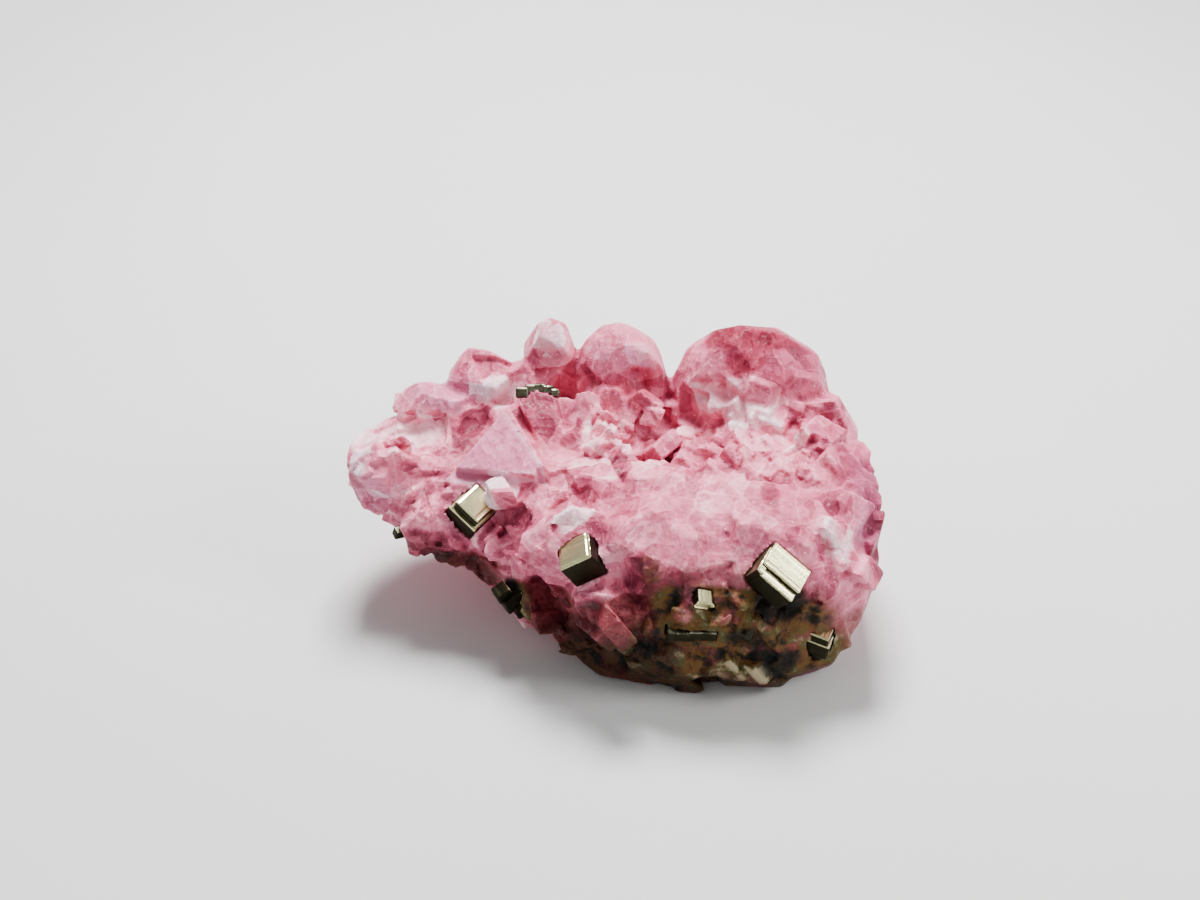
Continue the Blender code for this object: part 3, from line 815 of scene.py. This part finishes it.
class StoneLook(Look):
    """The pink stone's material, in parts that share their patterns."""

    def __init__(self):
        super().__init__("rhodochrosite")
        self.place = self.millimetres()
        self.bent = self.warped(self.warped(self.place, 0.5, 0.7), 4.0, 0.12)
        self.middle = self.noise(self.place, 0.9, 6, 0.65)
        self.fine = self.noise(self.place, 5.0, 4, 0.65)
        self.domain = self.red(self.cells(self.bent, DOMAIN_SCALE))
        self.grain = self.red(self.cells(self.bent, GRAIN_SCALE))
        self.small_grain = self.red(self.cells(self.bent, SMALL_GRAIN_SCALE))
        self.facet = self.value("facet")
        self.relief = self.value("relief")
        self.rough_share = self.total(1.0, (self.value("calm"), -0.35))
        # Tiny spots that are glossier and painted lighter, as sparkles on the crystal faces.
        self.painted_glint = self.spots(4.0, (0.1, 0.22), (0.86, 0.88))
        self.zone = self.zones()
        # The big cleavage face is even.
        self.face = self.total(-0.04, (self.value("face"), 1.0), (self.fine, 0.08))
        self.in_face = self.step(self.face, 0.48, 0.52)

    def spots(self, scale, edge, choice):
        """Round spots with a soft edge, in the cells whose random number is above the choice."""
        return self.times(
            self.step(self.cells(self.place, scale, out="Distance"), *edge, 1.0, 0.0),
            self.step(self.red(self.cells(self.place, scale)), *choice),
        )

    def zones(self):
        """Each zone's strength, broken up along the grains or, in a blurred zone, by clouds."""
        mosaic = ((self.domain, 0.3), (self.grain, 0.3), (self.middle, 0.2), (self.fine, 0.25))
        mosaic = self.total(-0.7, *mosaic)
        cloudy = self.total(-0.5, (self.middle, 0.7), (self.fine, 0.2))
        found = {}
        for name in ZONES:
            blurred = name in BLURRED_ZONES
            rough = self.total(cloudy if blurred else mosaic, (self.value(name), 1.0))
            found[name] = self.step(rough, 0.1, 0.9 if blurred else 0.4)
        return found

    def tone(self):
        """How light the stone is, with painted sparkle and painted shade in its crevices, before its tints
        and stains.
        """
        to_edge = self.cells(self.bent, DOMAIN_SCALE, "DISTANCE_TO_EDGE", "Distance")
        border = self.step(self.total(-0.05, (to_edge, 1.0), (self.fine, 0.1)), 0.0, 0.05, 1.0, 0.0)
        patches = self.total(
            -0.62,
            (self.facet, 0.25),
            (self.domain, 0.42),
            (self.grain, 0.38),
            (self.small_grain, 0.19),
        )
        light = self.total(
            0.09,
            (self.times(patches, self.rough_share), 1.0),
            (self.noise(self.place, 0.25, 3), 0.15),
            (self.middle, 0.3),
            (self.fine, 0.25),
            # Lighter where the stone stands out and darker in its crevices: whiter fracture edges, and
            # painted shade in the crevices.
            (self.relief, 0.12),
            (border, 0.14),
            # Painted sparkle.
            (self.painted_glint, 0.5),
            (self.zone["pale"], 0.36),
            (self.zone["deep"], -0.4),
        )
        # The rim of the big cleavage face is whiter.
        rim = self.step(self.total(0.1, (self.face, 1.0), (self.middle, -0.2)), 0.55, 0.8, 1.0, 0.0)
        even = self.total(0.35, (self.middle, 0.25), (rim, 0.3), (self.fine, 0.1))
        return self.add("Mix", {0: self.times(self.in_face, 0.85), 2: light, 3: even})

    def stain(self):
        """The stain's colours, lighter on what stands out."""
        mottled = self.noise(self.bent, 1.0, 6, 0.68)
        terms = ((mottled, 1.0), (self.relief, 0.1), (self.zone["pale"], 0.16))
        return self.ramp(self.total(-0.02, *terms), STAINS)

    def colour(self):
        """The tone's pink, with the zones' tints, stains and painted shade laid over it one by one."""
        zone = self.zone
        lilac = self.add("Math", {0: zone["lilac"], 1: self.in_face}, operation="MAXIMUM")
        specks = self.spots(0.9, (0.05, 0.09), (0.7, 0.72))
        spread = self.step(self.noise(self.bent, 0.7, 4, 0.6), 0.25, 0.5)
        colour = self.ramp(self.tone(), PINKS)
        for where, strength, tint, blend in (
            (zone["white"], 0.5, WHITE_PINK, "MIX"),
            (zone["rose"], 0.9, ROSE_TINT, "MULTIPLY"),
            (lilac, 0.75, LILAC_TINT, "MULTIPLY"),
            (specks, 0.8, SPECK_BROWN, "MIX"),
            (zone["umber_and_painted_shade"], 0.92, UMBER_AND_SHADE_TINT, "MULTIPLY"),
            (zone["stain"], spread, self.stain(), "MIX"),
            (zone["shade"], 0.92, SHADE_TINT, "MULTIPLY"),
            (zone["dark"], 0.97, BLACK_STAIN_AND_SHADOW, "MIX"),
        ):
            colour = self.mix(self.times(where, strength), colour, tint, blend)
        return colour

    def normal(self):
        """Fine bumps, then a lean of its own for each grain, less where the stone is calm."""
        height = self.total(
            0.0,
            (self.fine, 0.5),
            (self.cells(self.bent, SMALL_GRAIN_SCALE, out="Distance"), 0.5),
            (self.noise(self.place, 14.0, 3), 0.25),
        )
        normal = self.add("Bump", {"Height": height, "Strength": 0.5, "Distance": 0.1 * MM}, out="Normal")
        for scale, lean in ((GRAIN_SCALE, 0.25), (SMALL_GRAIN_SCALE, 0.4), (SUGAR_SCALE, 0.25)):
            normal = self.leaned(normal, self.cells(self.bent, scale), self.times(self.rough_share, lean))
        return normal


def rhodochrosite_look():
    look = StoneLook()
    roughness = ((look.small_grain, 0.3), (look.facet, 0.15), (look.zone["stain"], 0.2), (look.painted_glint, -0.3))
    look.feed(look.surface, {
        "Base Color": look.colour(),
        "Roughness": look.total(0.18, *roughness),
        "Specular IOR Level": 0.12,
        "IOR": 1.6,
        "Normal": look.normal(),
        "Subsurface Weight": 0.3,
        "Subsurface Radius": (1.0, 0.35, 0.4),
        "Subsurface Scale": 0.4 * MM,
    })
    return look.material


# Pyrite crystals as in the CAD part: centre, turn in degrees, then each box as offset and half-sizes.
PYRITES = {
    "pyrite_left": ((-6.8, -1.2, 6.81), (8, 29, -34), [
        ((-0.12, 0, 0), (0.63, 0.80, 0.66)),
        ((0.5, 0, -0.05), (0.25, 0.78, 0.66)),
        ((0, -0.05, -0.4), (0.9, 0.95, 0.5)),
    ]),
    "pyrite_centre": ((-1.42, -5.26, 6.98), (-80, -31, 0), [
        ((0, 0, 0), (0.88, 0.80, 0.75)),
        ((0, -0.06, 0.08), (0.76, 0.80, 0.75)),
    ]),
    "pyrite_right": ((7.72, -6.45, 7.06), (-38, 11, -118), [
        ((-0.25, 0, 0), (0.73, 1.15, 0.70)),
        ((0.35, 0.05, -0.14), (0.62, 1.05, 0.62)),
        ((0.1, -1.0, -0.06), (0.80, 0.20, 0.62)),
    ]),
    "pyrite_low_left": ((-5.0, -3.9, 3.4), (10, -20, 30), [
        ((0, 0, 0), (0.55, 0.55, 0.55)),
        ((0.35, -0.15, -0.75), (0.6, 0.5, 0.55)),
        ((-0.25, 0.1, 0.6), (0.4, 0.4, 0.35)),
    ]),
    "pyrite_top": ((-3.75, 4.1, 10.1), (-35, 0, 0), [
        ((-0.75, -0.15, -0.1), (0.32, 0.26, 0.28)),
        ((-0.35, 0.05, 0.05), (0.30, 0.24, 0.26)),
        ((0.1, 0.12, 0.1), (0.32, 0.24, 0.26)),
        ((0.55, 0.05, 0.02), (0.30, 0.22, 0.24)),
        ((0.9, -0.15, -0.12), (0.22, 0.22, 0.22)),
    ]),
    "pyrite_speck": ((-10.6, -0.95, 5.05), (20, 10, 30), [((0, 0, 0), (0.28, 0.25, 0.3))]),
    "pyrite_low_right": ((9.6, -6.4, 3.0), (0, 8, -22), [
        ((0, 0, 0), (1.0, 0.7, 0.42)),
        ((0.1, 0, 0.55), (0.8, 0.62, 0.3)),
        ((-0.1, 0.05, -0.5), (0.85, 0.62, 0.25)),
    ]),
    "pyrite_gold_grain": ((4.2, -7.2, 6.3), (20, 20, 10), [
        ((0, 0, 0), (0.4, 0.4, 0.3)),
        ((0.35, 0, -0.25), (0.3, 0.35, 0.25)),
    ]),
    "pyrite_dark_grain": ((3.7, -7.5, 4.4), (0, 6, 4), [
        ((-0.5, 0, 0), (0.7, 0.4, 0.3)),
        ((0.5, 0, 0.1), (0.7, 0.4, 0.28)),
    ]),
}
DARK_PYRITES = ("pyrite_top", "pyrite_speck", "pyrite_dark_grain")
GROOVE_SPACING = 0.085
GROOVE_DEPTH = 0.035
GROOVE_CHANCE = 0.45
GROOVE_BIAS = 1.5  # above 1, most grooves are shallow
LEAST_GROOVES = 6
CORNER_WEAR = 0.035
# Faces that look this way keep the bright metal; the others get painted shade, near black, for the shade
# and dark reflections on those sides.
BRIGHT_SIDE = np.array((0.25, -0.25, 0.935))
BRIGHT_SIDES = {
    "pyrite_centre": np.array((-0.6, -0.35, 0.72)),
    "pyrite_low_left": np.array((0.9, 0.4, 0.0)),
    "pyrite_gold_grain": np.array((0.3, -0.95, 0.0)),
}
# The colour of the painted shade on the crystals' dark sides.
PAINTED_SIDE_SHADE = (0.02, 0.018, 0.01)


def groove_profile(count, rng):
    """How far each line of a face is sunk: flat bands with small steps between them."""
    depths = []
    depth = 0.0
    for _ in range(count):
        if rng.random() < GROOVE_CHANCE:
            depth = GROOVE_DEPTH * rng.random() ** GROOVE_BIAS
        depths.append(depth)
    return depths


def striated_box(offset, half, rng):
    """A pyrite cube: each pair of faces is grooved across the next pair.

    Gives its points in millimetres, its faces, and for each point the direction that it faces.
    """
    counts = [max(LEAST_GROOVES, int(2 * h / GROOVE_SPACING)) for h in half]
    lines = [np.linspace(-1, 1, n + 1) for n in counts]
    grooves = [groove_profile(len(lines[(a + 1) % 3]), rng) for a in range(3)]
    points, found, faces, facing = [], {}, [], []

    def corner(key):
        if key in found:
            return found[key]
        ends = [key[a] in (0, counts[a]) for a in range(3)]
        place = []
        for a in range(3):
            t = lines[a][key[a]]
            most_out = half[a]
            if ends[a]:
                most_out -= grooves[a][key[(a + 1) % 3]] + (CORNER_WEAR if sum(ends) > 1 else 0)
            place.append(offset[a] + math.copysign(min(abs(t) * half[a], most_out), t))
        found[key] = len(points)
        points.append(place)
        facing.append([math.copysign(ends[a], lines[a][key[a]]) for a in range(3)])
        return found[key]

    for a in range(3):
        b, c = (a + 1) % 3, (a + 2) % 3
        for side in (0, counts[a]):
            for i in range(counts[b]):
                for j in range(counts[c]):
                    quad = []
                    for di, dj in ((0, 0), (1, 0), (1, 1), (0, 1)):
                        key = [0, 0, 0]
                        key[a], key[b], key[c] = side, i + di, j + dj
                        quad.append(corner(tuple(key)))
                    faces.append(tuple(quad if side else quad[::-1]))
    return points, faces, facing


def pyrite_piece(name, centre, turn, boxes, seed):
    """One crystal's object, with how much painted shade each vertex gets."""
    rng = random.Random(seed)
    points, faces, facing = [], [], []
    for offset, half in boxes:
        more, quads, directions = striated_box(offset, half, rng)
        faces += [tuple(i + len(points) for i in quad) for quad in quads]
        points += more
        facing += directions
    matrix = np.array(Euler([math.radians(d) for d in turn]).to_matrix())
    made = make_object(name + "_crystal", np.array(points) @ matrix.T + np.array(centre), faces)
    facing = np.array(facing) @ matrix.T
    # How far each face turns from the bright side decides how much painted shade it gets.
    upward = facing @ BRIGHT_SIDES.get(name, BRIGHT_SIDE) / np.linalg.norm(facing, axis=1)
    give_values(made, "painted_dark_side", np.clip((0.5 - upward) / 0.3, 0, 1))
    return made


def pyrite_look(name, metal, film_colour, film_edge):
    """Metal with a thin film in clouds, and painted shade on the faces turned from the bright side."""
    look = Look(name)
    place = look.millimetres()
    cloud = look.noise(place, 1.3, 4, 0.6)
    pits = look.cells(place, 5.0, out="Distance")
    film = look.step(look.total(0.0, (cloud, 0.8), (look.noise(place, 6.0, 3), 0.2)), *film_edge)
    painted_dark_side = look.step(look.total(-0.15, (look.value("painted_dark_side"), 1.0), (cloud, 0.3)), 0.2, 0.8)
    colour = look.mix(film, (*metal, 1), (*film_colour, 1))
    # The faces turned from the bright side are painted near black, as shade and dark reflection.
    colour = look.mix(painted_dark_side, colour, (*PAINTED_SIDE_SHADE, 1))
    height = look.total(0.0, (look.noise(place, 9.0, 4), 0.5), (pits, 0.2))
    bump = {"Height": height, "Strength": 0.35, "Distance": 0.05 * MM}
    look.feed(look.surface, {
        "Base Color": colour,
        "Metallic": 1.0,
        "Roughness": look.total(0.22, (film, 0.2), (cloud, 0.15), (painted_dark_side, 0.2)),
        "Normal": look.add("Bump", bump, out="Normal"),
    })
    return look.material


def floor_look():
    look = Look("floor")
    shade = look.noise(look.millimetres(), 0.05, 3)
    colour = look.mix(shade, (0.70, 0.70, 0.69, 1), (0.74, 0.74, 0.735, 1))
    look.feed(look.surface, {"Base Color": colour, "Roughness": 0.9})
    return look.material


def stage():
    bpy.ops.mesh.primitive_plane_add(size=0.6, location=(0, 0, 0))
    floor = bpy.context.object
    floor.name = "floor"
    floor.data.materials.append(floor_look())


WORLD_STRENGTH = 0.35
LIT_POINT = Vector((0, 0, 0.006))
# Each light's name, place, size and power.
LIGHTS = (
    ("key", (0.0, 0.06, 0.12), 0.045, 0.5),
    ("side", (0.12, -0.03, 0.09), 0.05, 0.14),
    ("fill", (-0.08, -0.10, 0.10), 0.12, 0.02),
)


def lights():
    world = bpy.data.worlds.new("studio")
    world.use_nodes = True
    background = world.node_tree.nodes["Background"].inputs
    background["Color"].default_value = (1, 1, 1, 1)
    background["Strength"].default_value = WORLD_STRENGTH
    bpy.context.scene.world = world
    for name, place, size, energy in LIGHTS:
        light = bpy.data.lights.new(name, "AREA")
        light.size = size
        light.energy = energy
        lamp = bpy.data.objects.new(name, light)
        lamp.location = place
        lamp.rotation_euler = (LIT_POINT - Vector(place)).to_track_quat("-Z", "Y").to_euler()
        bpy.context.scene.collection.objects.link(lamp)


# The photograph's view: how far the camera looks down, and where it stands in millimetres.
CAMERA_ELEVATION = math.radians(38)
CAMERA_PLACE = (-0.6, -70.42, 64.52)


def camera():
    data = bpy.data.cameras.new("camera")
    data.lens = 55
    data.sensor_width = 36
    data.clip_start = 0.005
    data.clip_end = 2
    made = bpy.data.objects.new("camera", data)
    made.location = [c * MM for c in CAMERA_PLACE]
    made.rotation_euler = (math.pi / 2 - CAMERA_ELEVATION, 0, 0)
    bpy.context.scene.collection.objects.link(made)
    bpy.context.scene.camera = made


stone = pink_stone()
stone.data.materials.append(rhodochrosite_look())
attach(stone, "root")
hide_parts("rhodochrosite")

bright_look = pyrite_look(
    "pyrite_bright",
    metal=(0.84, 0.80, 0.44),
    film_colour=(0.38, 0.36, 0.14),
    film_edge=(0.5, 0.8),
)
dark_look = pyrite_look(
    "pyrite_dark",
    metal=(0.26, 0.26, 0.18),
    film_colour=(0.07, 0.07, 0.045),
    film_edge=(0.35, 0.6),
)
for number, (name, row) in enumerate(PYRITES.items()):
    crystal = pyrite_piece(name, *row, seed=number)
    dark = name in DARK_PYRITES
    crystal.data.materials.append(dark_look if dark else bright_look)
    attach(crystal, "root")
    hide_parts(name)

stage()
lights()
camera()
